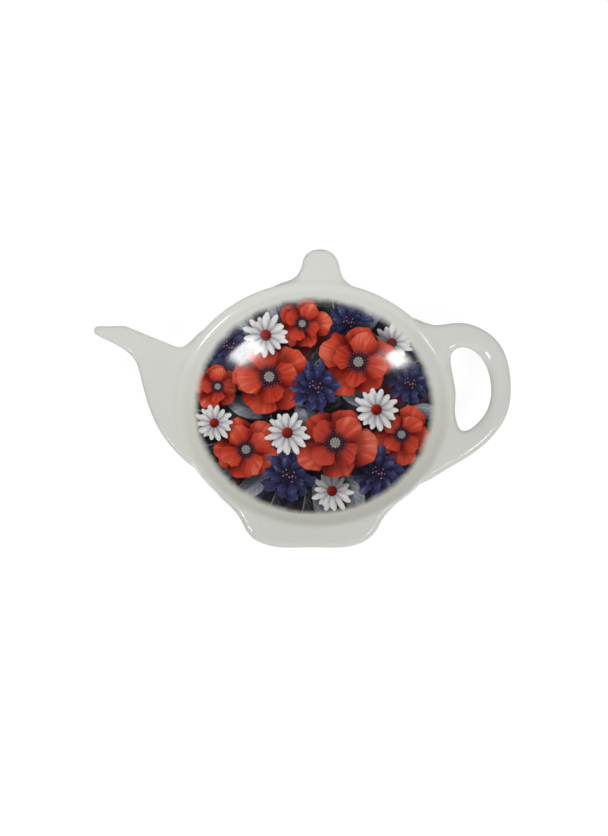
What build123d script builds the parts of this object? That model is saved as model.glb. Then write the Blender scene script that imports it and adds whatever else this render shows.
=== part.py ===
from build123d import *
import math
import os

# A tea bag rest in the shape of a teapot, lying flat.
# Millimetres. X runs from the spout to the handle, Y from the base to the knob, Z up from the table.

# Dish. CREST_X is half the distance along X between the highest points of the rim.
CREST_X = 40.8
PLAN_RATIO = 0.89
FLOOR_CLEARANCE = 1.2
WALL = 3.6
WELL_DEPTH = 11.2
LIP_RADIUS = 4.0
NOSE_RADIUS = 0.75
NOSE_ANGLE = 105.0
FLOOR_ANGLE = 21.0
WALL_ANGLE = 42.0

# Foot ring, as half lengths along X.
FOOT_OUTER_X = 23.5
FOOT_INNER_X = 19.5
FOOT_ROUND = 0.8

# Fired-on print, as a half length along X.
PRINT_X = 37.6
PRINT_FILM = 0.1

# Flat plates that stand out from the rim, a little below its crest, and how far each one reaches.
# They stand on an oval of PLATE_RATIO, with its middle PLATE_SHIFT nearer to the spout than the dish's own.
# PLATE_SPAN is the length that places along the rim are shares of.
PLATE_THICKNESS = 4.4
PLATE_DROP = 0.2
PLATE_ROUND = 0.43 * PLATE_THICKNESS
PLATE_RATIO = 0.90
PLATE_SHIFT = 0.3
PLATE_SPAN = 40.0
SPOUT_REACH = 24.1
HANDLE_REACH = 17.9
KNOB_REACH = 9.3
BASE_REACH = 5.45

# Tip of the spout. TIP_ALONG is a share of PLATE_SPAN, and the round end turns through TIP_ANGLE.
TIP_RADIUS = 1.4
TIP_ALONG = -0.553
TIP_ANGLE = 151.0
TIP_THICKNESS = 3.0
SPOUT_ROUND = 0.86 * TIP_RADIUS

# Free edges of the plates, anticlockwise. Each point is (outward, along) from the end of the rim that the
# plate stands on: outward is a share of the plate's reach, and below 0 it runs in under the rim, and along
# is a share of PLATE_SPAN.
SPOUT_UPPER_SHARES = [(-0.73, -0.625), (-0.37, -0.565), (-0.185, -0.467), (-0.09, -0.432), (0.045, -0.45),
                      (0.33, -0.52), (0.55, -0.575)]
SPOUT_LOWER_SHARES = [(0.685, -0.436), (0.497, -0.34), (0.417, -0.203), (0.307, 0.03), (0.135, 0.238),
                      (-0.142, 0.424), (-0.62, 0.59)]
HANDLE_SHARES = [(-0.89, -0.62), (-0.5, -0.592), (-0.08, -0.486), (0.345, -0.372), (0.725, -0.22),
                 (0.935, -0.067), (1.0, 0.113), (0.965, 0.288), (0.8, 0.462), (0.485, 0.575), (0.11, 0.615),
                 (-0.29, 0.6), (-0.64, 0.653), (-1.09, 0.662)]
LOOP_SHARES = [(-0.01, 0.333), (0.073, 0.415), (0.2, 0.43), (0.435, 0.385), (0.637, 0.225),
               (0.648, 0.02), (0.435, -0.14), (0.175, -0.193), (0.095, -0.135), (0.075, 0.075)]
KNOB_SHARES = [(-1.08, -0.39), (-0.24, -0.316), (0.055, -0.23), (0.4, -0.202), (0.74, -0.173),
               (1.0, -0.056), (0.765, 0.06), (0.41, 0.087), (0.12, 0.128), (-0.085, 0.233),
               (-1.08, 0.325)]
BASE_SHARES = [(-3.1, -0.727), (-1.92, -0.713), (-1.34, -0.632), (-0.51, -0.54), (0.3, -0.478),
               (0.84, -0.355), (1.0, 0.0), (0.8, 0.347), (0.25, 0.458), (-0.68, 0.535), (-1.55, 0.637),
               (-2.64, 0.653)]


def sine(angle):
    return math.sin(math.radians(angle))


def cosine(angle):
    return math.cos(math.radians(angle))


def well_arcs():
    """Radii of the floor arc and the wall arc that bring the well up to the crest at the stated slopes."""
    floor_run = sine(FLOOR_ANGLE)
    floor_rise = 1 - cosine(FLOOR_ANGLE)
    wall_run = sine(WALL_ANGLE) - sine(FLOOR_ANGLE)
    wall_rise = cosine(FLOOR_ANGLE) - cosine(WALL_ANGLE)
    run = CREST_X - LIP_RADIUS * sine(WALL_ANGLE)
    rise = WELL_DEPTH - LIP_RADIUS * (1 - cosine(WALL_ANGLE))
    share = floor_run * wall_rise - wall_run * floor_rise
    floor_arc = (run * wall_rise - wall_run * rise) / share
    wall_arc = (floor_run * rise - run * floor_rise) / share
    return floor_arc, wall_arc


FLOOR_ARC, WALL_ARC = well_arcs()
FLOOR_HEIGHT = FLOOR_CLEARANCE + WALL
CREST_HEIGHT = FLOOR_HEIGHT + WELL_DEPTH
RIM_X = CREST_X + NOSE_RADIUS
PLATE_TOP = CREST_HEIGHT - PLATE_DROP
PLATE_BOTTOM = PLATE_TOP - PLATE_THICKNESS


def bowl_curve(offset, wall_end):
    """Floor arc and wall arc of the bowl, set back behind the inner face by the offset."""
    floor = JernArc((0, FLOOR_HEIGHT - offset), (1, 0), FLOOR_ARC + offset, FLOOR_ANGLE)
    wall = JernArc(floor @ 1, floor % 1, WALL_ARC + offset, wall_end - FLOOR_ANGLE)
    return floor, wall


def rim_curve(wall):
    """Lip and rounded nose of the rim, from the top of the inner wall round to the outer flank."""
    lip = JernArc(wall @ 1, wall % 1, LIP_RADIUS, -WALL_ANGLE)
    nose = JernArc(lip @ 1, lip % 1, NOSE_RADIUS, -NOSE_ANGLE)
    return lip, nose


def turned_oval(edges):
    """Turns a half section about Z and squeezes the round result into the oval plan of the dish."""
    section = Plane.XZ * make_face(edges)
    return scale(revolve(section, Axis.Z), by=(1, PLAN_RATIO, 1))


def make_dish():
    """The oval bowl with its rounded rim."""
    floor, wall = bowl_curve(0, WALL_ANGLE)
    lip, nose = rim_curve(wall)
    under_floor, under_wall = bowl_curve(WALL, WALL_ANGLE)
    flank = Line(nose @ 1, under_wall @ 1)
    axis_line = Line(under_floor @ 0, floor @ 0)
    return turned_oval([floor, wall, lip, nose, flank, under_wall, under_floor, axis_line])


def make_filled_dish():
    """The dish with its well filled past the crest, which cuts the other pieces back to its outside."""
    nose = rim_curve(bowl_curve(0, WALL_ANGLE)[1])[1]
    under_floor, under_wall = bowl_curve(WALL, WALL_ANGLE)
    flank = Line(nose @ 1, under_wall @ 1)
    fill_height = CREST_HEIGHT + WALL
    fill = Polyline(nose @ 0, (CREST_X, fill_height), (0, fill_height), under_floor @ 0)
    return turned_oval([nose, flank, under_wall, under_floor, fill])


def make_foot_ring():
    """The unglazed oval ring the dish stands on, before its top is cut to the underside of the bowl."""
    outer = Ellipse(FOOT_OUTER_X, FOOT_OUTER_X * PLAN_RATIO)
    inner = Ellipse(FOOT_INNER_X, FOOT_INNER_X * PLAN_RATIO)
    blank = extrude(outer - inner, CREST_HEIGHT)
    standing_edges = blank.faces().sort_by(Axis.Z)[0].edges()
    return fillet(standing_edges, FOOT_ROUND)


def make_transfer_print():
    """The thin colour film that covers the floor and most of the wall of the well."""
    edge_sine = sine(FLOOR_ANGLE) + (PRINT_X - FLOOR_ARC * sine(FLOOR_ANGLE)) / WALL_ARC
    edge_slope = math.degrees(math.asin(edge_sine))
    floor, wall = bowl_curve(0, edge_slope)
    top_floor, top_wall = bowl_curve(-PRINT_FILM, edge_slope)
    border = Line(wall @ 1, top_wall @ 1)
    axis_line = Line(top_floor @ 0, floor @ 0)
    return turned_oval([floor, wall, border, top_wall, top_floor, axis_line])


def outline_points(shares, reach):
    """Outline points of a plate lying on its own, with X outward from the rim and Y along it."""
    return [Vector(outward * reach, along * PLATE_SPAN) for outward, along in shares]


def flat_plate(edges):
    """A flat plate between its free edge and a straight root that ends up inside the dish."""
    root = Line(edges[-1] @ 1, edges[0] @ 0)
    return extrude(make_face([*edges, root]), PLATE_THICKNESS)


def round_edges(plate, radius):
    """Rounds the curved edges that run round the top and the underside of a plate."""
    curved = [edge for edge in plate.edges() if edge.geom_type != GeomType.LINE]
    return fillet(curved, radius)


def make_spout():
    """The spout, with a round tip and an underside that rises towards it."""
    upper_points = outline_points(SPOUT_UPPER_SHARES, SPOUT_REACH)
    lower_points = outline_points(SPOUT_LOWER_SHARES, SPOUT_REACH)
    tip_start = (SPOUT_REACH - TIP_RADIUS, TIP_ALONG * PLATE_SPAN - TIP_RADIUS)
    tip = JernArc(tip_start, (1, 0), TIP_RADIUS, TIP_ANGLE)
    upper = Spline(*upper_points, tip @ 0, tangents=(upper_points[1] - upper_points[0], tip % 0))
    lower = Spline(tip @ 1, *lower_points, tangents=(tip % 1, lower_points[-1] - lower_points[-2]))
    rise = Polygon((0, 0), (SPOUT_REACH, PLATE_THICKNESS - TIP_THICKNESS), (SPOUT_REACH, 0), align=None)
    taper = extrude(Plane.XZ * rise, RIM_X, both=True)
    return round_edges(flat_plate([upper, tip, lower]) - taper, SPOUT_ROUND)


def make_handle():
    """The flat ear with its D-shaped hole."""
    blank = flat_plate([Spline(*outline_points(HANDLE_SHARES, HANDLE_REACH))])
    loop = make_face(Spline(*outline_points(LOOP_SHARES, HANDLE_REACH), periodic=True))
    return round_edges(blank - extrude(loop, PLATE_THICKNESS), PLATE_ROUND)


def make_tab(shares, reach):
    """A tab with one smooth free edge, such as the knob or the base of the pot."""
    return round_edges(flat_plate([Spline(*outline_points(shares, reach))]), PLATE_ROUND)


def on_rim(plate, angle):
    """Sets a plate against the end of the rim that lies in the direction of the angle."""
    root = (RIM_X * cosine(angle) - PLATE_SHIFT, RIM_X * PLATE_RATIO * sine(angle), PLATE_BOTTOM)
    return Pos(*root) * Rot(0, 0, angle) * plate


filled_dish = make_filled_dish()
pieces = {
    "dish": make_dish(),
    "transfer_print": make_transfer_print(),
    "foot_ring": make_foot_ring() - filled_dish,
    "handle": on_rim(make_handle(), 0) - filled_dish,
    "lid_knob": on_rim(make_tab(KNOB_SHARES, KNOB_REACH), 90) - filled_dish,
    "spout": on_rim(make_spout(), 180) - filled_dish,
    "pot_base": on_rim(make_tab(BASE_SHARES, BASE_REACH), 270) - filled_dish,
}

os.makedirs("parts", exist_ok=True)
for name, piece in pieces.items():
    export_step(piece, f"parts/{name}.step")
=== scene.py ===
import math

import bpy
import numpy as np
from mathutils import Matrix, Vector
from mathutils.kdtree import KDTree


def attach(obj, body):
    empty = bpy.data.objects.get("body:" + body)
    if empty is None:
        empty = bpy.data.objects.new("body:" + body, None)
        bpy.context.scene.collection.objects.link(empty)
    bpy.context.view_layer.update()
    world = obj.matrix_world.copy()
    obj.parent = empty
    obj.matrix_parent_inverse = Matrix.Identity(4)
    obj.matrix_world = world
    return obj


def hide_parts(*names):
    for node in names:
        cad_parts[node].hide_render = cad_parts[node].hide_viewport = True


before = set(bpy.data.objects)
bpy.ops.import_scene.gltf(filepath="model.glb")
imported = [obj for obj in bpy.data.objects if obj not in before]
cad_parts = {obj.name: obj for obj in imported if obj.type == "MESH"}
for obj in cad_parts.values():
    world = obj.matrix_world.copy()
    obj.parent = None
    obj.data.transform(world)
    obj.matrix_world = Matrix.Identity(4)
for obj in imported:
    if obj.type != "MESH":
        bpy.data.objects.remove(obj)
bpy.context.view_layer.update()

# A tea bag rest in the shape of a teapot, in glazed porcelain with a printed well.
# Lengths are in millimetres until a mesh is made, and in metres after that.
MM = 0.001

# Dish. Its plan is an oval, so each radius is a half length along X.
RIM_X = 41.55
CREST_X = 41.6
PLAN_RATIO = 0.89
FLOOR_CLEARANCE = 1.2
WALL = 3.6
WELL_DEPTH = 11.2
LIP_RADIUS = 4.0
NOSE_RADIUS = 0.45
NOSE_ANGLE = math.radians(105.0)
FLOOR_ANGLE = math.radians(23.0)
WALL_ANGLE = math.radians(42.0)

# The lip of the well lies a little off the middle of the rim, towards the handle and the base.
# The shift grows from none at the first radius to all of it at the second.
LIP_SHIFT = (0.5, -0.9)
LIP_SHIFT_RADII = (29.0, 39.0)

# Plates, whose tops lie a little below the crest.
PLATE_NODES = ("spout", "handle", "lid_knob", "pot_base")
PLATE_DROP = 0.2
PLATE_THICKNESS = 4.4
PLATE_ROUND = 1.9

# Tighter rounding of the plates' edges that face the knob. It sets in between two values of how far an
# edge faces the knob, and between two radii. A higher curve keeps the plate flat for longer.
FIRM_FACING = (-0.2, 0.4)
FIRM_RADII = (42.5, 44.0)
FIRM_CURVE = 1.8

# Slope of the handle's top down to its hole, which is taken as an oval with a mean half length. It sets in
# along X at the right of the hole, and between the upper places along Y it is longer and deeper.
HOLE_CENTRE = (44.0, 4.8)
HOLE_HALF = (9.0, 12.4)
HOLE_MEAN_HALF = 10.0
SLOPE_START_X = (46.0, 51.0)
SLOPE_REACH = 2.7
SLOPE_DROP = 0.9
SLOPE_CURVE = 1.7
UPPER_START_Y = (7.0, 14.0)
UPPER_END_Y = (16.0, 20.0)
UPPER_EXTRA_REACH = 2.5
UPPER_EXTRA_DROP = 0.8

# Foot ring, with a flare at its top that sinks a little into the bowl, as pooled glaze does.
FOOT_OUTER_X = 23.5
FOOT_INNER_X = 19.5
FOOT_ROUND = 0.8
FOOT_FLARE = 0.9
FOOT_FLARE_HEIGHT = 0.63
FOOT_SINK = 0.25

# Printed film: its reach, its thickness in the middle and at the edge, and the width over which it thins.
PRINT_X = 37.6
PRINT_FILM = 0.06
PRINT_FILM_EDGE = 0.02
PRINT_THINNING = 12.0

# Picture on the film: an oval that fades out over a share of its size, with a slightly uneven edge.
PICTURE_CENTRE = (0.1, -0.55)
PICTURE_HALF = (36.9, 33.4)
PICTURE_FADE = (1.00, 0.925)
PICTURE_UNEVEN = 0.035
PICTURE_MARGIN = 0.8

# Fused body: the size of its voxels and the rounds of softening. The first rounds soften it everywhere.
# The rest work in full within the first distance of a plate, and by a small share beyond the second.
VOXEL = 0.45
FIRST_ROUNDS = 4
JOINT_ROUNDS = 20
JOINT_DISTANCES = (1.5, 4.5)
FREE_RIM_SHARE = 0.1
SHRINK = 0.50
SWELL = 0.53

# In the well and under the bowl, softening is undone up to the first radius and kept from the second on.
WELL_TRUE_RADII = (39.6, 40.9)
UNDER_TRUE_RADII = (29.0, 32.0)

# Glaze that pools in hollows: rounds of spreading, and the gain from the lift of a vertex to a share.
POOL_ROUNDS = 12
POOL_GAIN = 20.0

# Steps along each curve. The section of the dish has closer points from FINE_RADIUS on.
FINE_RADIUS = 34.0
FLOOR_STEPS = 60
LIP_STEPS = 40
NOSE_STEPS = 14
UNDER_WALL_STEPS = 20
CORNER_STEPS = 8
FLARE_STEPS = 6
TURNS = 240
FILM_STEPS = 97

# Photograph: millimetres per pixel at the rim, and the frame's centre there.
PIXEL = 0.30
FRAME_HEIGHT = 836
FRAME_CENTRE = (-2.95, -4.00)
RIM_LEVEL = 14.5
CAMERA_HEIGHT = 800.0
SENSOR = 24.0

# Paper stage, and how much light it bounces, how bright it looks and how much shadow it shows.
STAGE_MIDDLE = 100.0
STAGE_REACH = 1500.0
STAGE_CURVE = 500.0
STAGE_RISE = 1400.0
STAGE_STEPS = 11
STAGE_CURVE_STEPS = 16
STAGE_TURNS = 96
PAPER_BOUNCE = 0.62
PAPER_GLOW = 0.92
PAPER_SHADE = 0.15
WORLD_LIGHT = 0.06


def well_arcs():
    """Radii of the floor arc and the wall arc of the well."""
    floor_run = math.sin(FLOOR_ANGLE)
    floor_rise = 1 - math.cos(FLOOR_ANGLE)
    wall_run = math.sin(WALL_ANGLE) - math.sin(FLOOR_ANGLE)
    wall_rise = math.cos(FLOOR_ANGLE) - math.cos(WALL_ANGLE)
    run = CREST_X - LIP_RADIUS * math.sin(WALL_ANGLE)
    rise = WELL_DEPTH - LIP_RADIUS * (1 - math.cos(WALL_ANGLE))
    share = floor_run * wall_rise - wall_run * floor_rise
    floor_arc = (run * wall_rise - wall_run * rise) / share
    wall_arc = (floor_run * rise - run * floor_rise) / share
    return floor_arc, wall_arc


FLOOR_ARC, WALL_ARC = well_arcs()
FLOOR_HEIGHT = FLOOR_CLEARANCE + WALL
CREST_HEIGHT = FLOOR_HEIGHT + WELL_DEPTH
PLATE_TOP = CREST_HEIGHT - PLATE_DROP
FLOOR_CENTRE = (0.0, FLOOR_HEIGHT + FLOOR_ARC)
WALL_CENTRE = ((FLOOR_ARC - WALL_ARC) * math.sin(FLOOR_ANGLE),
               FLOOR_CENTRE[1] - (FLOOR_ARC - WALL_ARC) * math.cos(FLOOR_ANGLE))
LIP_CENTRE = (CREST_X, CREST_HEIGHT - LIP_RADIUS)
LIP_START = CREST_X - LIP_RADIUS * math.sin(WALL_ANGLE)


def smooth_step(values, low, high):
    """0 below low and 1 above high, with a soft change between."""
    share = np.clip((values - low) / (high - low), 0, 1)
    return share * share * (3 - 2 * share)


def bowl_height(radius, offset):
    """Height of the bowl's surface, set back behind the inner face by the offset."""
    floor_reach = (FLOOR_ARC + offset) * math.sin(FLOOR_ANGLE)
    on_floor = FLOOR_CENTRE[1] - np.sqrt(np.maximum((FLOOR_ARC + offset) ** 2 - radius ** 2, 0))
    run = radius - WALL_CENTRE[0]
    on_wall = WALL_CENTRE[1] - np.sqrt(np.maximum((WALL_ARC + offset) ** 2 - run ** 2, 0))
    return np.where(radius < floor_reach, on_floor, on_wall)


def well_height(x, y):
    """Height of the well: its floor and wall, and its lip, whose oval is shifted."""
    share = smooth_step(np.hypot(x, y / PLAN_RATIO), *LIP_SHIFT_RADII)
    radius = np.hypot(x - LIP_SHIFT[0] * share, (y - LIP_SHIFT[1] * share) / PLAN_RATIO)
    on_lip = LIP_CENTRE[1] + np.sqrt(np.maximum(LIP_RADIUS ** 2 - (radius - LIP_CENTRE[0]) ** 2, 0))
    return np.where(radius < LIP_START, bowl_height(radius, 0), on_lip)


def arc(centre, radius, first, last, count):
    """Points on an arc, as angles from straight down towards the rim."""
    angles = np.linspace(first, last, count)
    return np.stack([centre[0] + radius * np.sin(angles), centre[1] - radius * np.cos(angles)], 1)


def dish_section(angle):
    """Half section of the dish in one direction, from the well's middle over the rim to the underside."""
    east = math.cos(angle)
    north = math.sin(angle)
    crest = CREST_X + LIP_SHIFT[0] * east + LIP_SHIFT[1] * north / PLAN_RATIO
    inset = LIP_RADIUS - NOSE_RADIUS
    lean = math.asin((crest + NOSE_RADIUS - RIM_X) / inset)
    nose_centre = (RIM_X - NOSE_RADIUS, LIP_CENTRE[1] + inset * math.cos(lean))
    lip_end = nose_centre[0] - NOSE_RADIUS * math.sin(lean)
    on_floor = np.linspace(0, FINE_RADIUS, FLOOR_STEPS)
    on_lip = np.linspace(FINE_RADIUS, lip_end, LIP_STEPS)
    radius = np.concatenate([on_floor, on_lip[1:]])
    pieces = [
        np.stack([radius, well_height(radius * east, radius * north * PLAN_RATIO)], 1),
        arc(nose_centre, NOSE_RADIUS, math.pi + lean, math.pi - NOSE_ANGLE, NOSE_STEPS)[1:],
        arc(WALL_CENTRE, WALL_ARC + WALL, WALL_ANGLE, FLOOR_ANGLE, UNDER_WALL_STEPS),
        arc(FLOOR_CENTRE, FLOOR_ARC + WALL, FLOOR_ANGLE, 0, FLOOR_STEPS)[1:],
    ]
    return np.concatenate(pieces)


def foot_flare(radius, outward):
    """The flare at the top of one side of the foot ring."""
    steps = np.linspace(0, 1, FLARE_STEPS)
    top = bowl_height(np.array(radius), WALL)
    height = top - FOOT_FLARE_HEIGHT * (1 - steps) + FOOT_SINK * steps
    return np.stack([radius + outward * FOOT_FLARE * steps ** 2, height], 1)


def foot_section(angle):
    """Closed section of the foot ring, which is the same in each direction."""
    corner = math.pi / 2
    inner = arc((FOOT_INNER_X + FOOT_ROUND, FOOT_ROUND), FOOT_ROUND, -corner, 0, CORNER_STEPS)
    outer = arc((FOOT_OUTER_X - FOOT_ROUND, FOOT_ROUND), FOOT_ROUND, 0, corner, CORNER_STEPS)
    return np.concatenate([inner, outer, foot_flare(FOOT_OUTER_X, 1), foot_flare(FOOT_INNER_X, -1)[::-1]])


def new_object(name, points, faces):
    """A smooth-shaded mesh object from points in millimetres."""
    mesh = bpy.data.meshes.new(name)
    mesh.from_pydata((np.asarray(points) * MM).tolist(), [], faces)
    mesh.validate()
    mesh.shade_smooth()
    thing = bpy.data.objects.new(name, mesh)
    bpy.context.scene.collection.objects.link(thing)
    return thing


def turned_oval(name, section_at, ends_on_axis):
    """Turns a section about Z and squeezes the result into the oval plan of the dish."""
    angles = np.linspace(0, 2 * math.pi, TURNS, endpoint=False)
    sections = np.array([section_at(angle) for angle in angles])
    rings = sections[:, 1:-1] if ends_on_axis else sections
    count = rings.shape[1]
    points = np.empty((TURNS, count, 3))
    points[:, :, 0] = np.cos(angles)[:, None] * rings[:, :, 0]
    points[:, :, 1] = np.sin(angles)[:, None] * rings[:, :, 0] * PLAN_RATIO
    points[:, :, 2] = rings[:, :, 1]
    points = points.reshape(-1, 3)
    start = len(points)
    if ends_on_axis:
        ends = [[0, 0, sections[0, 0, 1]], [0, 0, sections[0, -1, 1]]]
        points = np.concatenate([points, ends])
    last = count - 1 if ends_on_axis else count
    faces = []
    for turn in range(TURNS):
        here = turn * count
        there = (turn + 1) % TURNS * count
        for ring in range(last):
            after = (ring + 1) % count
            faces.append((here + ring, there + ring, there + after, here + after))
        if ends_on_axis:
            faces.append((start, there, here))
            faces.append((start + 1, here + count - 1, there + count - 1))
    return new_object(name, points, faces)


def mesh_points(mesh):
    """Places of the vertices, in metres."""
    points = np.empty(len(mesh.vertices) * 3)
    mesh.vertices.foreach_get("co", points)
    return points.reshape(-1, 3)


def mesh_normals(mesh):
    """Directions in which the vertices face."""
    normals = np.empty(len(mesh.vertices) * 3)
    mesh.vertices.foreach_get("normal", normals)
    return normals.reshape(-1, 3)


def mesh_edges(mesh):
    """Pairs of vertices that an edge joins."""
    edges = np.empty(len(mesh.edges) * 2, int)
    mesh.edges.foreach_get("vertices", edges)
    return edges.reshape(-1, 2)


def move_vertices(mesh, points):
    """Moves the vertices to points in millimetres."""
    mesh.vertices.foreach_set("co", (points * MM).ravel())
    mesh.update()


def neighbour_mean(values, edges, degree):
    """Mean of the neighbours' values at each vertex."""
    total = np.empty_like(values)
    for axis in range(values.shape[1]):
        one = np.bincount(edges[:, 0], values[edges[:, 1], axis], len(values))
        two = np.bincount(edges[:, 1], values[edges[:, 0], axis], len(values))
        total[:, axis] = one + two
    return total / degree[:, None]


def melt(points, edges, rounds, share):
    """Softens creases the way glaze does, and keeps the volume by swelling back after each step."""
    degree = np.bincount(edges.ravel(), minlength=len(points))
    for step in range(rounds):
        points = points + SHRINK * share * (neighbour_mean(points, edges, degree) - points)
        points = points - SWELL * share * (neighbour_mean(points, edges, degree) - points)
    return points


def nearness(points, places, full, none):
    """1 at points within the full distance of the nearest place, falling to 0 at the other distance."""
    tree = KDTree(len(places))
    for index, place in enumerate(places):
        tree.insert(place, index)
    tree.balance()
    away = np.array([tree.find(point)[2] for point in points])
    return 1 - smooth_step(away, full, none)


def settle(points):
    """Sets the well and the underside of the bowl back on their true curves after melting."""
    x, y, z = points.T
    radius = np.hypot(x, y / PLAN_RATIO)
    inner = well_height(x, y)
    under = bowl_height(radius, WALL)
    middle = (inner + under) / 2
    in_well = (z > middle) * (1 - smooth_step(radius, *WELL_TRUE_RADII))
    below = (z <= middle) * (1 - smooth_step(radius, *UNDER_TRUE_RADII))
    return np.stack([x, y, z + in_well * (inner - z) + below * (under - z)], 1)


def firm_edges(points, normals):
    """Keeps the plates flat nearer to the edges that face the knob, where the rounding is tighter."""
    x, y, z = points.T
    facing = normals[:, 1] / (np.hypot(normals[:, 0], normals[:, 1]) + 1e-6)
    outside = smooth_step(np.hypot(x, y / PLAN_RATIO), *FIRM_RADII)
    share = smooth_step(facing, *FIRM_FACING) * outside
    depth = np.clip((PLATE_TOP - z) / PLATE_ROUND, 0, 1)
    lift = PLATE_ROUND * (depth - depth ** FIRM_CURVE)
    return np.stack([x, y, z + share * lift], 1)


def crown_handle(points):
    """Slopes the handle's top gently down to its hole, at the right of it and most at the upper right."""
    x, y, z = points.T
    oval = np.hypot((x - HOLE_CENTRE[0]) / HOLE_HALF[0], (y - HOLE_CENTRE[1]) / HOLE_HALF[1])
    away = (oval - 1) * HOLE_MEAN_HALF
    upper = smooth_step(y, *UPPER_START_Y) * (1 - smooth_step(y, *UPPER_END_Y))
    slope = np.clip(1 - away / (SLOPE_REACH + UPPER_EXTRA_REACH * upper), 0, 1) ** SLOPE_CURVE
    drop = (SLOPE_DROP + UPPER_EXTRA_DROP * upper) * slope * smooth_step(x, *SLOPE_START_X)
    on_top = np.clip(1 - (PLATE_TOP - z) / (PLATE_THICKNESS / 2), 0, 1)
    return np.stack([x, y, z - drop * on_top], 1)


def add_glaze_pool(mesh, edges):
    """Marks each vertex from 0 on sharp edges, where glaze runs thin, to 1 in hollows, where it pools."""
    points = mesh_points(mesh) / MM
    degree = np.bincount(edges.ravel(), minlength=len(points))
    lift = ((neighbour_mean(points, edges, degree) - points) * mesh_normals(mesh)).sum(1, keepdims=True)
    for step in range(POOL_ROUNDS):
        lift = neighbour_mean(lift, edges, degree)
    pool = np.clip(0.5 + lift[:, 0] * POOL_GAIN, 0, 1)
    layer = mesh.attributes.new("glaze_pool", "FLOAT", "POINT")
    layer.data.foreach_set("value", pool.astype(np.float32))


def plate_copies():
    """Copies of the CAD model's plates."""
    copies = []
    for node in PLATE_NODES:
        copy = bpy.data.objects.new(node + "_copy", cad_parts[node].data.copy())
        bpy.context.scene.collection.objects.link(copy)
        copies.append(copy)
    return copies


def fuse(parts):
    """Joins the parts and skins them with one mesh of small faces."""
    blank = parts[0]
    with bpy.context.temp_override(active_object=blank, selected_editable_objects=parts):
        bpy.ops.object.join()
    remesh = blank.modifiers.new("fuse", "REMESH")
    remesh.mode = "VOXEL"
    remesh.voxel_size = VOXEL * MM
    bpy.context.view_layer.update()
    fused = bpy.data.meshes.new_from_object(blank.evaluated_get(bpy.context.evaluated_depsgraph_get()))
    bpy.data.objects.remove(blank)
    return fused


def make_body():
    """The one fired body: the dish and the four plates, grown together under the glaze."""
    dish = turned_oval("blank", dish_section, True)
    plates = plate_copies()
    plate_points = np.concatenate([mesh_points(plate.data) for plate in plates]) / MM
    mesh = fuse([dish, *plates])
    edges = mesh_edges(mesh)
    points = mesh_points(mesh) / MM
    joined = nearness(points, plate_points, *JOINT_DISTANCES)[:, None]
    points = melt(points, edges, FIRST_ROUNDS, 1.0)
    points = melt(points, edges, JOINT_ROUNDS, np.maximum(joined, FREE_RIM_SHARE))
    move_vertices(mesh, points)
    points = firm_edges(settle(points), mesh_normals(mesh))
    move_vertices(mesh, crown_handle(points))
    mesh.name = "porcelain_body"
    mesh.materials.clear()
    mesh.shade_smooth()
    add_glaze_pool(mesh, edges)
    body = bpy.data.objects.new("porcelain_body", mesh)
    bpy.context.scene.collection.objects.link(body)
    return body


def make_print_film():
    """The printed film, a closed sheet of quads that follows the well and thins out at its edge."""
    count = FILM_STEPS
    line = np.linspace(-1, 1, count)
    across, along = np.meshgrid(line, line)
    x = across * np.sqrt(1 - along ** 2 / 2) * PRINT_X
    y = along * np.sqrt(1 - across ** 2 / 2) * PRINT_X * PLAN_RATIO
    height = well_height(x, y)
    thinning = smooth_step(np.hypot(x, y / PLAN_RATIO), PRINT_X - PRINT_THINNING, PRINT_X)
    thickness = PRINT_FILM + (PRINT_FILM_EDGE - PRINT_FILM) * thinning
    top = np.stack([x, y, height + thickness], 2).reshape(-1, 3)
    bottom = np.stack([x, y, height], 2).reshape(-1, 3)
    size = count * count
    faces = []
    for row in range(count - 1):
        for column in range(count - 1):
            first = row * count + column
            corners = (first, first + 1, first + 1 + count, first + count)
            faces.append(corners)
            faces.append(tuple(size + corner for corner in reversed(corners)))
    border = list(range(count))
    border += [row * count + count - 1 for row in range(1, count)]
    border += [(count - 1) * count + column for column in range(count - 2, -1, -1)]
    border += [row * count for row in range(count - 2, 0, -1)]
    for first, second in zip(border, border[1:] + border[:1]):
        faces.append((first, size + first, size + second, second))
    film = new_object("print_film", np.concatenate([top, bottom]), faces)
    rim = set(border) | {size + vertex for vertex in border}
    for edge in film.data.edges:
        edge.use_edge_sharp = set(edge.vertices) <= rim
    lay_out_print(film.data, size)
    return film


def lay_out_print(mesh, top_count):
    """Maps the film's top as seen from above, and its other faces into a corner that the oval leaves."""
    centre = 0.5
    half = 0.497
    corner_centre = 0.03
    corner_half = 0.02
    layer = mesh.uv_layers.new(name="OFBake")
    plan = mesh_points(mesh)[:, :2] / MM / (PRINT_X, PRINT_X * PLAN_RATIO)
    for face in mesh.polygons:
        on_top = all(vertex < top_count for vertex in face.vertices)
        for loop, vertex in zip(face.loop_indices, face.vertices):
            if on_top:
                place = centre + half * plan[vertex]
            else:
                place = corner_centre + corner_half * plan[vertex]
            layer.data[loop].uv = tuple(place)


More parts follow.
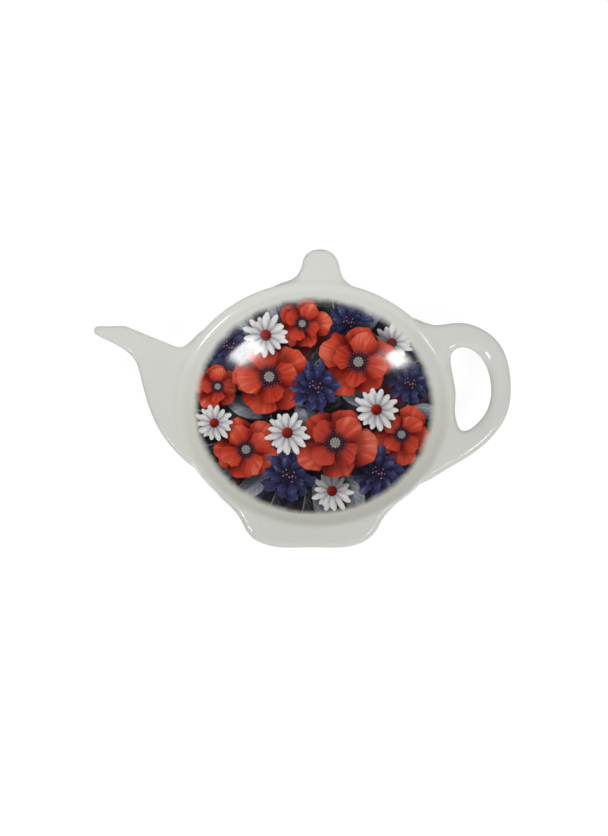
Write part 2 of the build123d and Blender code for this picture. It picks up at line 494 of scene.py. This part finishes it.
class Field:
    """A value that varies over a surface. Arithmetic on it adds nodes to its tree."""

    def __init__(self, tree, socket):
        self.tree = tree
        self.socket = socket

    def math(self, operation, *others):
        node = self.tree.nodes.new("ShaderNodeMath")
        node.operation = operation
        for slot, value in zip(node.inputs, (self, *others)):
            feed(self.tree, slot, value)
        return Field(self.tree, node.outputs[0])

    def vector_math(self, operation, other):
        node = self.tree.nodes.new("ShaderNodeVectorMath")
        node.operation = operation
        feed(self.tree, node.inputs[0], self)
        feed(self.tree, node.inputs[1], other)
        gives_number = operation in ("DOT_PRODUCT", "LENGTH")
        return Field(self.tree, node.outputs["Value" if gives_number else "Vector"])

    def length(self):
        return self.vector_math("LENGTH", (0.0, 0.0, 0.0))

    def x(self):
        return self.vector_math("DOT_PRODUCT", (1.0, 0.0, 0.0))

    def y(self):
        return self.vector_math("DOT_PRODUCT", (0.0, 1.0, 0.0))

    def z(self):
        return self.vector_math("DOT_PRODUCT", (0.0, 0.0, 1.0))

    def __add__(self, other):
        return self.math("ADD", other)

    def __sub__(self, other):
        return self.math("SUBTRACT", other)

    def __rsub__(self, other):
        return self.math("MULTIPLY_ADD", -1.0, other)

    def __mul__(self, other):
        return self.math("MULTIPLY", other)

    def __truediv__(self, other):
        return self.math("DIVIDE", other)


def feed(tree, slot, value):
    """Links a field to a socket, or sets the socket to a plain value."""
    if isinstance(value, Field):
        tree.links.new(value.socket, slot)
    elif isinstance(value, tuple) and slot.type == "RGBA":
        slot.default_value = (*value, 1.0)
    else:
        slot.default_value = value


def step_up(value, low, high):
    """0 below low and 1 above high, with a soft change between. Where low is the higher, it steps down."""
    node = value.tree.nodes.new("ShaderNodeMapRange")
    node.interpolation_type = "SMOOTHSTEP"
    for slot, number in zip(node.inputs, (value, low, high, 0.0, 1.0)):
        feed(value.tree, slot, number)
    return Field(value.tree, node.outputs[0])


def blend(share, under, over):
    """Mixes two colours."""
    node = share.tree.nodes.new("ShaderNodeMix")
    node.data_type = "RGBA"
    for index, value in ((0, share), (6, under), (7, over)):
        feed(share.tree, node.inputs[index], value)
    return Field(share.tree, node.outputs[2])


def choose(share, first, second):
    """Mixes two vectors."""
    node = share.tree.nodes.new("ShaderNodeMix")
    node.data_type = "VECTOR"
    for index, value in ((0, share), (4, first), (5, second)):
        feed(share.tree, node.inputs[index], value)
    return Field(share.tree, node.outputs[1])


def darken(colour, share):
    """Takes a share of the light out of a colour."""
    return blend(share, colour, (0.0, 0.0, 0.0))


def ramp(value, stops):
    """Colours along a line, from (place, colour) stops."""
    node = value.tree.nodes.new("ShaderNodeValToRGB")
    elements = node.color_ramp.elements
    while len(elements) < len(stops):
        elements.new(1.0)
    for element, (place, colour) in zip(elements, stops):
        element.position = place
        element.color = (*colour, 1.0)
    feed(value.tree, node.inputs[0], value)
    return Field(value.tree, node.outputs[0])


def combine(tree, x, y, z):
    """A vector from three numbers or fields."""
    node = tree.nodes.new("ShaderNodeCombineXYZ")
    for slot, value in zip(node.inputs, (x, y, z)):
        feed(tree, slot, value)
    return Field(tree, node.outputs[0])


def noise(vector, scale, detail=2.0, roughness=0.5):
    """Cloudy noise about 0.5, with patches of about one over the scale."""
    node = vector.tree.nodes.new("ShaderNodeTexNoise")
    feed(vector.tree, node.inputs["Vector"], vector)
    node.inputs["Scale"].default_value = scale
    node.inputs["Detail"].default_value = detail
    node.inputs["Roughness"].default_value = roughness
    return Field(vector.tree, node.outputs[0])


def chance(value):
    """A random number from 0 to 1 for each whole number."""
    node = value.tree.nodes.new("ShaderNodeTexWhiteNoise")
    node.noise_dimensions = "1D"
    feed(value.tree, node.inputs["W"], value)
    return Field(value.tree, node.outputs["Value"])


def new_group(name, inputs, outputs):
    """An empty group of nodes. Returns the group and its inputs as fields."""
    group = bpy.data.node_groups.new(name, "ShaderNodeTree")
    for label, kind in inputs:
        group.interface.new_socket(label, in_out="INPUT", socket_type="NodeSocket" + kind)
    for label, kind in outputs:
        group.interface.new_socket(label, in_out="OUTPUT", socket_type="NodeSocket" + kind)
    start = group.nodes.new("NodeGroupInput")
    return group, [Field(group, start.outputs[label]) for label, kind in inputs]


def close_group(group, *fields):
    """Links fields to the outputs of a group."""
    end = group.nodes.new("NodeGroupOutput")
    for slot, field in zip(end.inputs, fields):
        feed(group, slot, field)


def use_group(tree, group, *values):
    """Adds a group to a tree and returns its outputs as fields."""
    node = tree.nodes.new("ShaderNodeGroup")
    node.node_tree = group
    for slot, value in zip(node.inputs, values):
        feed(tree, slot, value)
    return [Field(tree, output) for output in node.outputs]


def petal_ring_group():
    """A ring of petals about the origin, whose tips reach about 1."""
    numbers = ("Count", "Turn", "Middle", "Half", "Width", "Ruffle", "Seed")
    results = ("Cover", "Side", "Radius", "Streak", "Luck")
    inputs = [("Point", "Vector")] + [(label, "Float") for label in numbers]
    group, fields = new_group("petal_ring", inputs, [(label, "Float") for label in results])
    point, count, turn, middle, half, width, ruffle, seed = fields
    x = point.x()
    y = point.y()
    radius = point.length()
    place = y.math("ARCTAN2", x) * (0.5 / math.pi) * count + turn
    side = place.math("FRACT")
    luck = chance((place.math("FLOOR") + count * 4.0).math("MODULO", count) + seed * 31.0)
    direction = combine(group, x / radius * 5.0, y / radius * 5.0, radius * 0.9 + seed * 7.0)
    streak = noise(direction, 1.0, 3.0, 0.6)
    wave = noise(combine(group, x * 3.0, y * 3.0, seed * 5.0), 1.0, 1.0) - 0.5
    length = radius / (luck * 0.22 + 0.86) + wave * ruffle
    across = (side * 2.0 - 1.0).math("ABSOLUTE") * math.pi / count * radius + wave * ruffle
    lobe = ((length - middle) / half).math("POWER", 2.0) + (across / width).math("POWER", 2.0)
    cover = step_up(lobe, 1.07, 0.93)
    close_group(group, cover, side, radius, streak, luck)
    return group


def new_flower(name):
    """An empty flower. Its point is seen from its middle, and its tips reach 1."""
    inputs = [("Point", "Vector"), ("Turn", "Float"), ("Seed", "Float"), ("Under", "Color")]
    return new_group(name, inputs, [("Colour", "Color")])


def cast_shadow(point, under, reach, depth):
    """Darkens what lies under a flower, a little to its lower right."""
    away = point.vector_math("SUBTRACT", (0.07, -0.10, 0.0)).length()
    return darken(under, step_up(away, reach * 1.22, reach * 0.80) * depth)


def add_petals(group, petal_ring, point, turn, seed, ring):
    """Adds one ring of petals to a flower and returns what the ring gives."""
    count, spread, middle, half, width, ruffle, shift = ring
    wide = point.vector_math("DIVIDE", (spread, spread, 1.0))
    petal = (middle, half, width, ruffle)
    return use_group(group, petal_ring, wide, count, turn + shift, *petal, seed + shift)


# Colours of the print, from shade to light.
POPPY_RED = [(0.0, (0.020, 0.003, 0.004)), (0.35, (0.130, 0.007, 0.006)), (0.62, (0.370, 0.026, 0.013)),
             (0.84, (0.540, 0.062, 0.032)), (1.0, (0.680, 0.170, 0.105))]
POPPY_BLOTCH = (0.012, 0.006, 0.012)
POPPY_STAMEN = (0.10, 0.055, 0.075)
POPPY_POD = (0.30, 0.29, 0.27)
POPPY_POD_SPOKE = (0.035, 0.025, 0.035)
CORNFLOWER_BLUE = [(0.0, (0.005, 0.005, 0.010)), (0.40, (0.015, 0.015, 0.042)),
                   (0.72, (0.042, 0.044, 0.125)), (1.0, (0.190, 0.205, 0.350))]
CORNFLOWER_HEART = (0.020, 0.008, 0.024)
CORNFLOWER_SPECK = (0.24, 0.18, 0.28)
DAISY_WHITE = [(0.0, (0.080, 0.080, 0.115)), (0.40, (0.320, 0.310, 0.340)), (0.72, (0.560, 0.545, 0.550)),
               (1.0, (0.760, 0.750, 0.740))]
LEAF_DARK = [(0.0, (0.004, 0.005, 0.006)), (0.5, (0.018, 0.019, 0.022)), (1.0, (0.085, 0.088, 0.090))]
LEAF_SILVER = [(0.0, (0.060, 0.066, 0.090)), (0.5, (0.200, 0.210, 0.245)), (1.0, (0.480, 0.480, 0.500))]
LEAF_RIB = (0.30, 0.30, 0.32)
WASH = [(0.34, (0.006, 0.006, 0.012)), (0.46, (0.020, 0.016, 0.028)), (0.55, (0.060, 0.050, 0.075)),
        (0.66, (0.130, 0.014, 0.012))]

# Rings of petals, from the lowest up. Each has its number of petals, its spread, the middle, half length,
# width and ruffle of a petal, and its turn in petals.
POPPY_RINGS = [(5.0, 1.0, 0.42, 0.56, 0.62, 0.22, 0.0), (4.0, 0.74, 0.42, 0.56, 0.60, 0.22, 0.37)]
CORNFLOWER_RINGS = [(10.0, 1.0, 0.58, 0.46, 0.26, 0.42, 0.0), (8.0, 0.66, 0.58, 0.46, 0.30, 0.42, 0.5)]
DAISY_RINGS = [(14.0, 1.0, 0.60, 0.44, 0.155, 0.08, 0.0), (11.0, 0.84, 0.60, 0.44, 0.165, 0.08, 0.5)]


def poppy_group(petal_ring):
    """A red poppy: two rings of overlapping petals about a dark eye."""
    group, (point, turn, seed, under) = new_flower("poppy")
    colour = cast_shadow(point, under, 1.0, 0.60)
    for ring in POPPY_RINGS:
        cover, side, radius, streak, luck = add_petals(group, petal_ring, point, turn, seed, ring)
        tuck = step_up(side, 0.0, 0.42) * 0.44 + step_up(side, 1.0, 0.86) * 0.10
        tone = tuck + streak * 0.60 + step_up(radius, 0.15, 0.95) * 0.24 + luck * 0.12 - 0.30
        shaded = darken(colour, step_up(radius, 1.12, 0.78) * 0.50)
        colour = blend(cover, shaded, ramp(tone, POPPY_RED))
    radius = point.length()
    blotch = step_up(radius - streak * 0.16, 0.26, 0.10)
    colour = blend(blotch * 0.93, colour, POPPY_BLOTCH)
    angle = point.y().math("ARCTAN2", point.x())
    anthers = (angle * 17.0 + seed * 3.0).math("SINE") * (radius * 46.0).math("SINE")
    stamens = step_up(anthers, 0.45, 0.75) * step_up(radius, 0.34, 0.30) * step_up(radius, 0.14, 0.18)
    colour = blend(stamens, colour, POPPY_STAMEN)
    pod = step_up(radius, 0.135, 0.115)
    spokes = step_up((angle * 5.0).math("COSINE").math("ABSOLUTE"), 0.86, 0.97)
    close_group(group, blend(pod, colour, blend(spokes, POPPY_POD, POPPY_POD_SPOKE)))
    return group


def cornflower_group(petal_ring):
    """A navy cornflower: ragged florets in two rings about a dark heart."""
    group, (point, turn, seed, under) = new_flower("cornflower")
    colour = cast_shadow(point, under, 0.9, 0.60)
    for ring in CORNFLOWER_RINGS:
        cover, side, radius, streak = add_petals(group, petal_ring, point, turn, seed, ring)[:4]
        tone = streak * 0.80 + step_up(radius, 0.25, 1.0) * 0.45 + step_up(side, 0.0, 0.6) * 0.26 - 0.36
        shaded = darken(colour, step_up(radius, 1.05, 0.7) * 0.45)
        colour = blend(cover, shaded, ramp(tone, CORNFLOWER_BLUE))
    radius = point.length()
    heart = step_up(radius - streak * 0.12, 0.26, 0.12)
    colour = blend(heart, colour, CORNFLOWER_HEART)
    specks = step_up(noise(point, 11.0, 0.0), 0.60, 0.68) * step_up(radius, 0.30, 0.24)
    close_group(group, blend(specks, colour, CORNFLOWER_SPECK))
    return group


def daisy_group(petal_ring):
    """A white daisy: narrow petals about a small orange-red heart."""
    group, (point, turn, seed, under) = new_flower("daisy")
    colour = cast_shadow(point, under, 0.95, 0.65)
    for ring in DAISY_RINGS:
        cover, side, radius, streak, luck = add_petals(group, petal_ring, point, turn, seed, ring)
        ridge = step_up((side * 2.0 - 1.0).math("ABSOLUTE"), 1.0, 0.1)
        tone = ridge * 0.30 + streak * 0.35 + step_up(radius, 0.2, 0.8) * 0.42 + luck * 0.12 - 0.06
        shaded = darken(colour, step_up(radius, 1.0, 0.6) * 0.35)
        colour = blend(cover, shaded, ramp(tone, DAISY_WHITE))
    radius = point.length()
    heart = step_up(radius, 0.29, 0.24)
    lit = step_up(point.y() - point.x(), -0.4, 0.4)
    heart_colour = ramp(noise(point, 15.0, 1.0) * 1.1 + lit * 0.4 - 0.35, POPPY_RED)
    close_group(group, blend(heart, colour, heart_colour))
    return group


def leaf_group():
    """A pointed leaf with a rib and veins, from -1 to 1 along its turn, silver where its seed is odd."""
    group, (point, turn, seed, under) = new_flower("leaf")
    angle = turn * (2 * math.pi)
    east = angle.math("COSINE")
    north = angle.math("SINE")
    along = point.x() * east + point.y() * north
    bend = point.y() * east - point.x() * north + along * along * 0.16
    away = bend.math("ABSOLUTE")
    half = (1.0 - along * along) * 0.34
    gap = away - half
    colour = darken(under, step_up(gap, 0.16, 0.0) * step_up(along.math("ABSOLUTE"), 1.2, 0.9) * 0.4)
    streak = noise(combine(group, along * 2.0, bend * 9.0, seed), 1.0, 2.0)
    veins = step_up(((along - away * 1.1) * 30.0).math("SINE"), 0.55, 1.0)
    tone = streak * 0.85 + step_up(bend, -0.03, 0.03) * 0.26 + veins * 0.14 - 0.14
    rib = step_up(away, 0.035, 0.015) * 0.45
    silver = seed.math("MODULO", 2.0)
    blade = blend(silver, ramp(tone, LEAF_DARK), ramp(tone, LEAF_SILVER))
    blade = blend(rib, blade, LEAF_RIB)
    cover = step_up(gap, 0.03, -0.03) * step_up(along.math("ABSOLUTE"), 1.0, 0.97)
    close_group(group, blend(cover, colour, blade))
    return group


# Bouquet, from the lowest layer up. Each layer has a kind, and the middle and size in millimetres of each
# one in it, with its turn as a share of a full turn. Those within a layer keep clear of each other.
BOUQUET = [
    ("leaf", [(-31, 14, 8, 0.40), (-21, 25, 9, 0.36), (-2, 31, 9, 0.22), (17, 27, 9, 0.16),
              (31, 13, 8, 0.08), (33, -2, 7, 0.0), (29, -18, 9, 0.90), (12, -27, 9, 0.80),
              (-3, -30, 8, 0.72), (-18, -24, 9, 0.62), (-31, -12, 8, 0.53), (-2, -4, 10, 0.30),
              (3, 15, 9, 0.12), (-20, -1, 9, 0.45), (17, -9, 8, 0.08)]),
    ("leaf", [(-27, 20, 9, 0.30), (-11, 27, 8, 0.31), (6, 29, 9, 0.28), (25, 20, 9, 0.08),
              (32, 6, 8, 0.14), (32, -11, 8, 0.97), (22, -24, 9, 0.83), (3, -30, 9, 0.78),
              (-12, -28, 9, 0.69), (-26, -19, 9, 0.60), (-33, -2, 8, 0.47), (-8, -14, 9, 0.87),
              (4, 1, 9, 0.55), (12, 3, 8, 0.40), (-13, -3, 8, 0.28)]),
    ("cornflower", [(-25.5, 17.5, 7.0, 0.1), (29.0, 6.5, 6.5, 0.6), (10.5, 25.0, 6.5, 0.3)]),
    ("poppy", [(-29.0, 5.5, 7.5, 0.2), (26.5, -9.0, 9.5, 0.7), (-3.5, 24.5, 8.5, 0.5),
               (-20.5, -13.5, 10.5, 0.9)]),
    ("daisy", [(23.5, 18.5, 6.0, 0.2), (-30.0, -5.5, 5.5, 0.4), (5.5, -26.0, 6.0, 0.7)]),
    ("cornflower", [(19.5, -20.5, 7.5, 0.2), (-7.5, -21.5, 8.0, 0.8)]),
    ("poppy", [(13.5, 13.0, 12.0, 0.35), (-13.5, 8.5, 12.5, 0.05), (6.5, -11.5, 12.5, 0.65)]),
    ("cornflower", [(0.5, 5.5, 7.5, 0.45)]),
    ("daisy", [(-14.5, 21.0, 6.5, 0.15), (19.0, -1.5, 6.5, 0.55), (-8.0, -8.5, 6.5, 0.95)]),
]


def nearest(point, places, under):
    """The point as seen from the nearest of a layer's places, with that one's turn and seed.

    The colour below is tied in by a billionth, so that the renderer ends each layer before the next and
    has room for all their values.
    """
    tied = point.vector_math("ADD", combine(point.tree, under * 1e-9, 0.0, 0.0))
    best = None
    for seed, (x, y, size, turn) in enumerate(places):
        local = tied.vector_math("SUBTRACT", (x, y, 0.0)).vector_math("MULTIPLY", (1 / size, 1 / size, 0.0))
        away = local.length()
        facts = (turn, seed, 0.0)
        if best is None:
            best = local
            least = away
            known = combine(point.tree, *facts)
        else:
            closer = away.math("LESS_THAN", least)
            least = away.math("MINIMUM", least)
            best = choose(closer, best, local)
            known = choose(closer, known, facts)
    return best, known.x(), known.y()


def object_point(tree):
    """The point on the surface, in millimetres."""
    node = tree.nodes.new("ShaderNodeTexCoord")
    scaled = tree.nodes.new("ShaderNodeVectorMath")
    scaled.operation = "SCALE"
    scaled.inputs["Scale"].default_value = 1 / MM
    tree.links.new(node.outputs["Object"], scaled.inputs[0])
    return Field(tree, scaled.outputs[0])


def oval_radius(point):
    """The radius of the point's oval about the dish's middle, along X."""
    return point.vector_math("MULTIPLY", (1.0, 1 / PLAN_RATIO, 0.0)).length()


def new_material(name):
    """A new material, with its nodes and its shader."""
    material = bpy.data.materials.new(name)
    material.use_nodes = True
    shader = material.node_tree.nodes["Principled BSDF"]
    return material, material.node_tree, shader


def bump(tree, shader, height, distance, strength):
    """Fine relief, up to a distance in millimetres."""
    node = tree.nodes.new("ShaderNodeBump")
    node.inputs["Distance"].default_value = distance * MM
    node.inputs["Strength"].default_value = strength
    feed(tree, node.inputs["Height"], height)
    tree.links.new(node.outputs[0], shader.inputs["Normal"])


# Colours of the porcelain: plain, where glaze pools, where it runs thin, and painted shade on the well's
# wall towards the base, which also paints the print's warm reflection there. The painted shade sets in
# between two radii and two places along Y. The clouds are shares of the plain colour.
PORCELAIN = (0.640, 0.650, 0.612)
PORCELAIN_POOLED = (0.560, 0.580, 0.548)
PORCELAIN_THIN = (0.655, 0.660, 0.618)
PORCELAIN_PAINTED_SHADE = (0.618, 0.622, 0.552)
PAINTED_SHADE_RADII = (43.5, 37.0)
PAINTED_SHADE_Y = (36.0, -20.0)
PORCELAIN_CLOUDS = (0.975, 1.02)
PORCELAIN_SPECK = (0.34, 0.31, 0.26)
BISCUIT_DARK = (0.56, 0.53, 0.46)
BISCUIT_LIGHT = (0.66, 0.63, 0.56)

# Glaze and relief, and the heights between which the foot's glaze ends.
GLAZE_IOR = 1.5
GLAZE_LINE = (0.95, 0.75)
RELIEF = 0.05


def porcelain_colour(point):
    """Cool white porcelain with slow cloudy changes of tone, and painted warm shade low in the well towards
    the base.
    """
    cloud = step_up(noise(point, 0.045, 3.0), 0.30, 0.70)
    dark, light = [tuple(share * part for part in PORCELAIN) for share in PORCELAIN_CLOUDS]
    colour = blend(cloud, dark, light)
    # Painted shade, warm like the print's reflection, on the well's wall towards the base.
    painted_shade = step_up(oval_radius(point), *PAINTED_SHADE_RADII) * step_up(point.y(), *PAINTED_SHADE_Y)
    return blend(painted_shade, colour, PORCELAIN_PAINTED_SHADE)


def glaze(tree, shader, point):
    """The gloss, slow waves and fine skin of a fired glaze."""
    shader.inputs["IOR"].default_value = GLAZE_IOR
    feed(tree, shader.inputs["Roughness"], noise(point, 0.35, 3.0) * 0.07 + 0.085)
    skin = noise(point, 0.16, 2.0) + noise(point, 0.9, 1.0) * 0.05
    bump(tree, shader, skin, RELIEF, 0.6)


def make_porcelain():
    """Glazed porcelain, greyer in hollows and paler on edges, with a few pale brown specks."""
    material, tree, shader = new_material("glazed_porcelain")
    point = object_point(tree)
    node = tree.nodes.new("ShaderNodeAttribute")
    node.attribute_name = "glaze_pool"
    pool = Field(tree, node.outputs["Fac"])
    colour = porcelain_colour(point)
    colour = blend(step_up(pool, 0.62, 0.90), colour, PORCELAIN_POOLED)
    colour = blend(step_up(pool, 0.42, 0.05), colour, PORCELAIN_THIN)
    specks = step_up(noise(point, 1.1, 0.0), 0.86, 0.90) * 0.2
    feed(tree, shader.inputs["Base Color"], blend(specks, colour, PORCELAIN_SPECK))
    glaze(tree, shader, point)
    return material


def make_print():
    """The fired-on print: a dense bouquet that fades into the white of the well."""
    material, tree, shader = new_material("printed_glaze")
    point = object_point(tree)
    petal_ring = petal_ring_group()
    kinds = {
        "poppy": poppy_group(petal_ring),
        "cornflower": cornflower_group(petal_ring),
        "daisy": daisy_group(petal_ring),
        "leaf": leaf_group(),
    }
    colour = ramp(noise(point, 0.075, 2.0), WASH)
    for kind, places in BOUQUET:
        local, turn, seed = nearest(point, places, colour)
        colour = use_group(tree, kinds[kind], local, turn, seed, colour)[0]
    centred = point.vector_math("SUBTRACT", (*PICTURE_CENTRE, 0.0))
    away = centred.vector_math("MULTIPLY", (1 / PICTURE_HALF[0], 1 / PICTURE_HALF[1], 0.0)).length()
    edge = away + (noise(point, 0.35, 3.0) - 0.5) * PICTURE_UNEVEN
    cover = step_up(edge, *PICTURE_FADE) * step_up(oval_radius(point), PRINT_X, PRINT_X - PICTURE_MARGIN)
    feed(tree, shader.inputs["Base Color"], blend(cover, porcelain_colour(point), colour))
    glaze(tree, shader, point)
    return material


def make_bare_porcelain():
    """Unglazed porcelain on the standing face, with the glaze line just above it."""
    material, tree, shader = new_material("bare_porcelain")
    point = object_point(tree)
    line = point.z() + (noise(point, 0.5, 2.0) - 0.5) * 0.5
    bare = step_up(line, *GLAZE_LINE)
    grain = noise(point, 5.0, 4.0, 0.7)
    biscuit = blend(step_up(grain, 0.35, 0.65), BISCUIT_DARK, BISCUIT_LIGHT)
    feed(tree, shader.inputs["Base Color"], blend(bare, porcelain_colour(point), biscuit))
    feed(tree, shader.inputs["Roughness"], bare * 0.6 + grain * 0.08 + 0.08)
    bump(tree, shader, grain * bare, RELIEF, 0.8)
    return material


def mix_shaders(tree, share, first, second):
    """Mixes the outputs of two shaders."""
    node = tree.nodes.new("ShaderNodeMixShader")
    feed(tree, node.inputs[0], share)
    tree.links.new(first, node.inputs[1])
    tree.links.new(second, node.inputs[2])
    return node.outputs[0]


def make_paper():
    """Paper that looks white with a faint shadow. It bounces light, and from behind it is clear."""
    material, tree, shader = new_material("paper")
    shader.inputs["Base Color"].default_value = (PAPER_BOUNCE, PAPER_BOUNCE, PAPER_BOUNCE, 1.0)
    shader.inputs["Roughness"].default_value = 0.9
    glow = tree.nodes.new("ShaderNodeEmission")
    glow.inputs["Strength"].default_value = PAPER_GLOW
    shade = tree.nodes.new("ShaderNodeBsdfDiffuse")
    shade.inputs["Color"].default_value = (PAPER_SHADE, PAPER_SHADE, PAPER_SHADE, 1.0)
    seen = tree.nodes.new("ShaderNodeAddShader")
    tree.links.new(glow.outputs[0], seen.inputs[0])
    tree.links.new(shade.outputs[0], seen.inputs[1])
    path = tree.nodes.new("ShaderNodeLightPath")
    camera = Field(tree, path.outputs["Is Camera Ray"])
    glossy = Field(tree, path.outputs["Is Glossy Ray"])
    through = Field(tree, path.outputs["Is Transmission Ray"])
    by_eye = camera.math("MAXIMUM", glossy).math("MAXIMUM", through)
    front = mix_shaders(tree, by_eye, shader.outputs[0], seen.outputs[0])
    clear = tree.nodes.new("ShaderNodeBsdfTransparent")
    geometry = tree.nodes.new("ShaderNodeNewGeometry")
    behind = Field(tree, geometry.outputs["Backfacing"])
    sheet = mix_shaders(tree, behind, front, clear.outputs[0])
    tree.links.new(sheet, tree.nodes["Material Output"].inputs["Surface"])
    return material


def make_stage():
    """A round sheet of paper that curves up into a backdrop on all sides."""
    radii = np.linspace(STAGE_MIDDLE, STAGE_REACH, STAGE_STEPS, endpoint=False)
    flat = np.stack([radii, np.zeros(STAGE_STEPS)], 1)
    bend = arc((STAGE_REACH, STAGE_CURVE), STAGE_CURVE, 0, math.pi / 2, STAGE_CURVE_STEPS)
    section = np.concatenate([flat, bend, [[STAGE_REACH + STAGE_CURVE, STAGE_RISE]]])
    count = len(section)
    points = [(0, 0, 0)]
    for angle in np.linspace(0, 2 * math.pi, STAGE_TURNS, endpoint=False):
        for radius, height in section:
            points.append((radius * math.cos(angle), radius * math.sin(angle), height))
    faces = []
    for turn in range(STAGE_TURNS):
        here = 1 + turn * count
        there = 1 + (turn + 1) % STAGE_TURNS * count
        faces.append((0, here, there))
        for ring in range(count - 1):
            faces.append((here + ring, here + ring + 1, there + ring + 1, there + ring))
    sheet = new_object("paper_sheet", points, faces)
    sheet.data.materials.append(make_paper())


def lamp(name, place, target, size, power, in_reflections):
    """A soft rectangular lamp, with lengths in millimetres and power in watts."""
    data = bpy.data.lights.new(name, "AREA")
    data.shape = "RECTANGLE"
    data.size = size[0] * MM
    data.size_y = size[1] * MM
    data.energy = power
    thing = bpy.data.objects.new(name, data)
    bpy.context.scene.collection.objects.link(thing)
    place = Vector(place) * MM
    thing.location = place
    thing.rotation_euler = (Vector(target) * MM - place).to_track_quat("-Z", "Y").to_euler()
    thing.visible_glossy = in_reflections


def from_side(across, up, tilt, distance):
    """A place in the direction (across, up) of the picture, tilted by degrees away from straight above."""
    length = math.hypot(across, up)
    run = distance * math.sin(math.radians(tilt))
    rise = distance * math.cos(math.radians(tilt))
    return (run * across / length, run * up / length, RIM_LEVEL + rise)


# Places of the lamps, and what they point at.
RIGHT_PLACE = from_side(across=0.72, up=-0.69, tilt=37.3, distance=2700)
LEFT_PLACE = from_side(across=-0.814, up=-0.581, tilt=38.3, distance=1800)
FRONT_PLACE = (0, -900, 700)
NEAR_PLACE = (-30, 96, 215)
NEAR_TARGET = (-30, 96, 0)
DISH_TARGET = (0, 0, 10)

# Lamps: name, place, target, width and height, watts, and whether the glaze shows the lamp. Each side lamp
# has a fill at its place that the glaze does not show, which keeps its highlight from being too bright.
LAMPS = [
    ("right_lamp", RIGHT_PLACE, DISH_TARGET, (530, 445), 18.0, True),
    ("right_fill", RIGHT_PLACE, DISH_TARGET, (570, 480), 11.8, False),
    ("left_lamp", LEFT_PLACE, DISH_TARGET, (210, 210), 4.7, True),
    ("left_fill", LEFT_PLACE, DISH_TARGET, (230, 230), 1.4, False),
    ("front_fill", FRONT_PLACE, DISH_TARGET, (600, 300), 0.8, False),
    ("near_fill", NEAR_PLACE, NEAR_TARGET, (150, 150), 0.217, False),
]


def light_scene():
    """The lamps, and a faint even light from all round."""
    for facts in LAMPS:
        lamp(*facts)
    world = bpy.data.worlds.new("studio")
    world.use_nodes = True
    background = world.node_tree.nodes["Background"]
    background.inputs["Color"].default_value = (1.0, 1.0, 1.0, 1.0)
    background.inputs["Strength"].default_value = WORLD_LIGHT
    bpy.context.scene.world = world


def make_camera():
    """A camera straight above the dish, with the photograph's scale at the rim."""
    data = bpy.data.cameras.new("camera")
    data.sensor_fit = "VERTICAL"
    data.sensor_height = SENSOR
    data.lens = SENSOR * CAMERA_HEIGHT / (FRAME_HEIGHT * PIXEL)
    camera = bpy.data.objects.new("camera", data)
    bpy.context.scene.collection.objects.link(camera)
    camera.location = Vector((*FRAME_CENTRE, RIM_LEVEL + CAMERA_HEIGHT)) * MM
    bpy.context.scene.camera = camera


make_camera()
light_scene()
make_stage()

body = make_body()
body.data.materials.append(make_porcelain())
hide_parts("dish", "spout", "handle", "lid_knob", "pot_base")

film = make_print_film()
film.data.materials.append(make_print())
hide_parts("transfer_print")

foot = turned_oval("foot", foot_section, False)
foot.data.materials.append(make_bare_porcelain())
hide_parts("foot_ring")

for piece in (body, film, foot):
    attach(piece, "root")

bpy.context.scene.view_settings.view_transform = "Standard"
